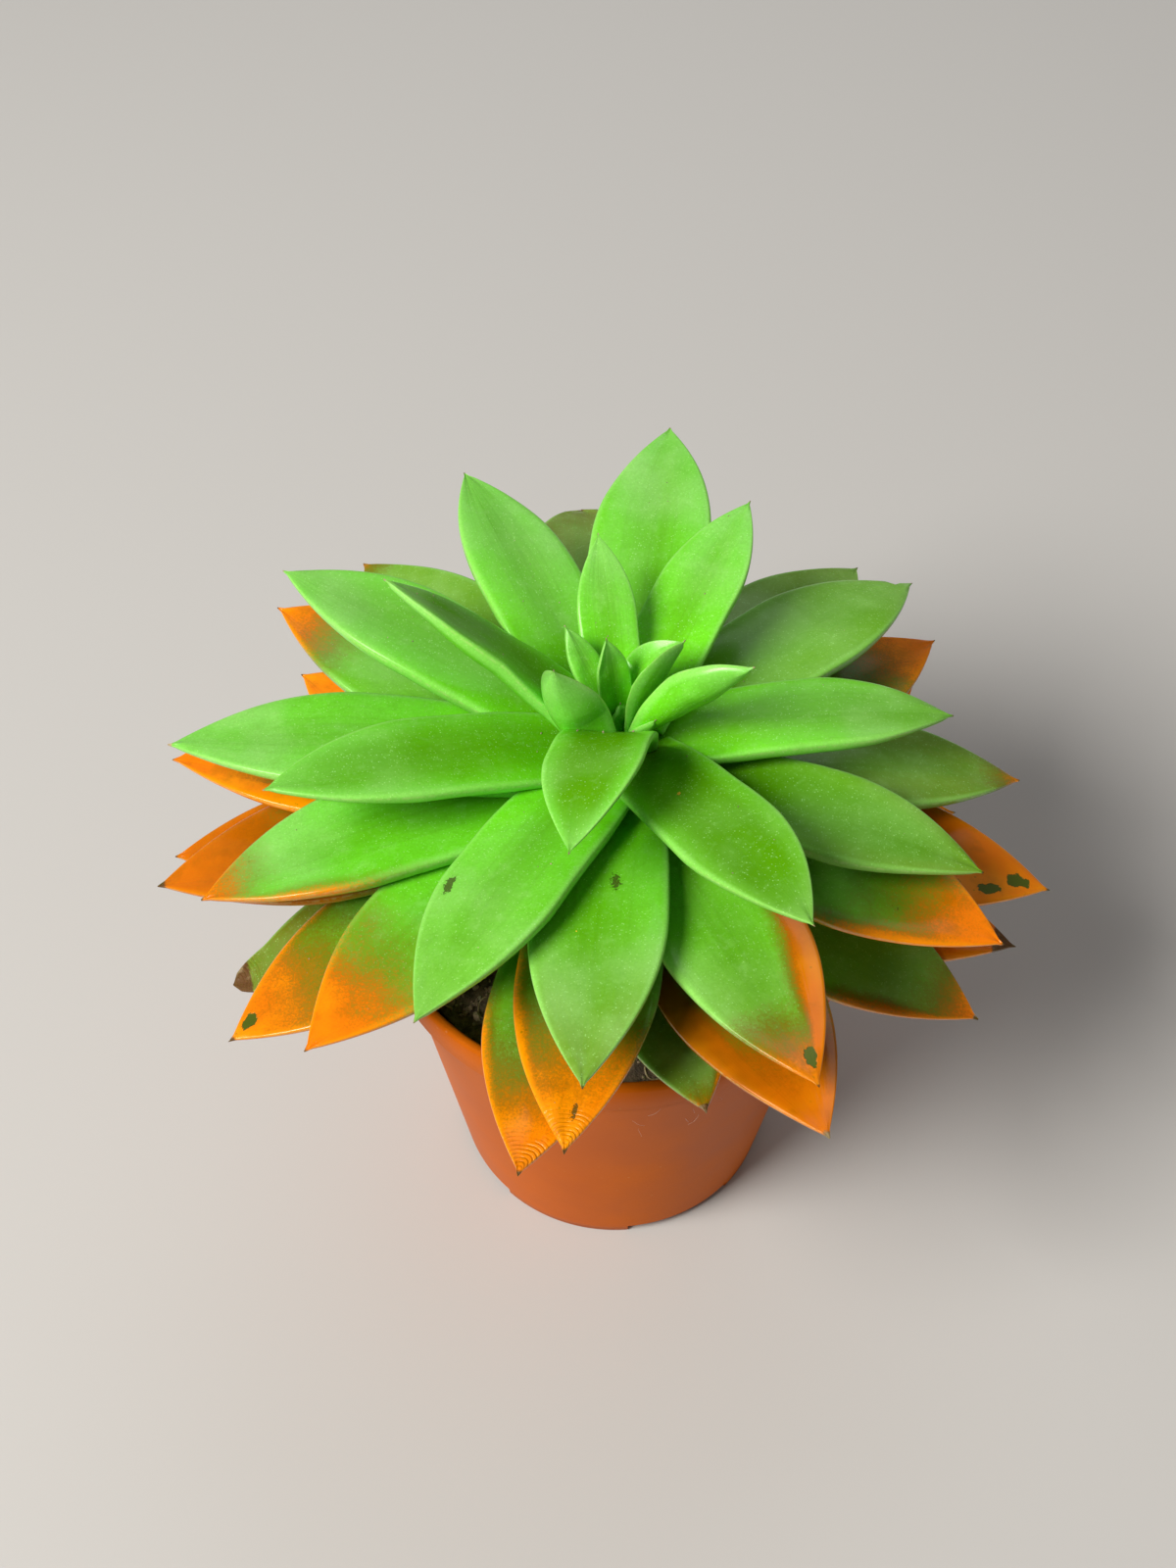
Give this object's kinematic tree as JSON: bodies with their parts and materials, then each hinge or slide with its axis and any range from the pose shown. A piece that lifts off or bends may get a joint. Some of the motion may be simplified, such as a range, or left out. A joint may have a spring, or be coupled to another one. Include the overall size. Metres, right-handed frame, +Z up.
{
  "type": "potted succulent",
  "caption": "Rosette succulent with fleshy pointed leaves, the lower ones dyed orange, in a round tapered plastic nursery pot filled with soil.",
  "frame": {"origin": "middle of the pot's underside, on the surface that it stands on", "axes": "+Z up along the pot's axis and the stem, -Y towards the front"},
  "size_m": [0.1595, 0.158, 0.1535],
  "materials": {
    "pot_plastic": "terracotta-coloured moulded plastic, satin, lightly scuffed and dusty",
    "soil": "dark damp potting soil with pale root fibres and grit",
    "stem": "woody green-brown stem with old leaf scars",
    "green_leaf": "fleshy green leaf with a powdery bloom, fine pale specks and paler margins",
    "dyed_leaf": "fleshy green leaf dyed orange from the tip and along the margins, speckled where the dye thins"
  },
  "bodies": {
    "root": {"pot": "pot_plastic", "soil": "soil", "stem": "stem", "leaf_01": "dyed_leaf", "leaf_02": "dyed_leaf", "leaf_03": "dyed_leaf", "leaf_04": "dyed_leaf", "leaf_05": "dyed_leaf", "leaf_06": "dyed_leaf", "leaf_07": "dyed_leaf", "leaf_08": "dyed_leaf", "leaf_09": "dyed_leaf", "leaf_10": "dyed_leaf", "leaf_11": "dyed_leaf", "leaf_12": "dyed_leaf", "leaf_13": "dyed_leaf", "leaf_14": "dyed_leaf", "leaf_15": "dyed_leaf", "leaf_16": "dyed_leaf", "leaf_17": "dyed_leaf", "leaf_18": "dyed_leaf", "leaf_19": "dyed_leaf", "leaf_20": "dyed_leaf", "leaf_21": "dyed_leaf", "leaf_22": "dyed_leaf", "leaf_23": "dyed_leaf", "leaf_24": "dyed_leaf", "leaf_25": "dyed_leaf", "leaf_26": "dyed_leaf", "leaf_27": "dyed_leaf", "leaf_28": "green_leaf", "leaf_29": "green_leaf", "leaf_30": "green_leaf", "leaf_31": "green_leaf", "leaf_32": "green_leaf", "leaf_33": "green_leaf", "leaf_34": "green_leaf", "leaf_35": "green_leaf", "leaf_36": "green_leaf", "leaf_37": "green_leaf", "leaf_38": "green_leaf", "leaf_39": "green_leaf", "leaf_40": "green_leaf", "leaf_41": "green_leaf", "leaf_42": "green_leaf", "leaf_43": "green_leaf", "leaf_44": "green_leaf", "leaf_45": "green_leaf", "leaf_46": "green_leaf", "leaf_47": "green_leaf"}
  },
  "joints": []
}
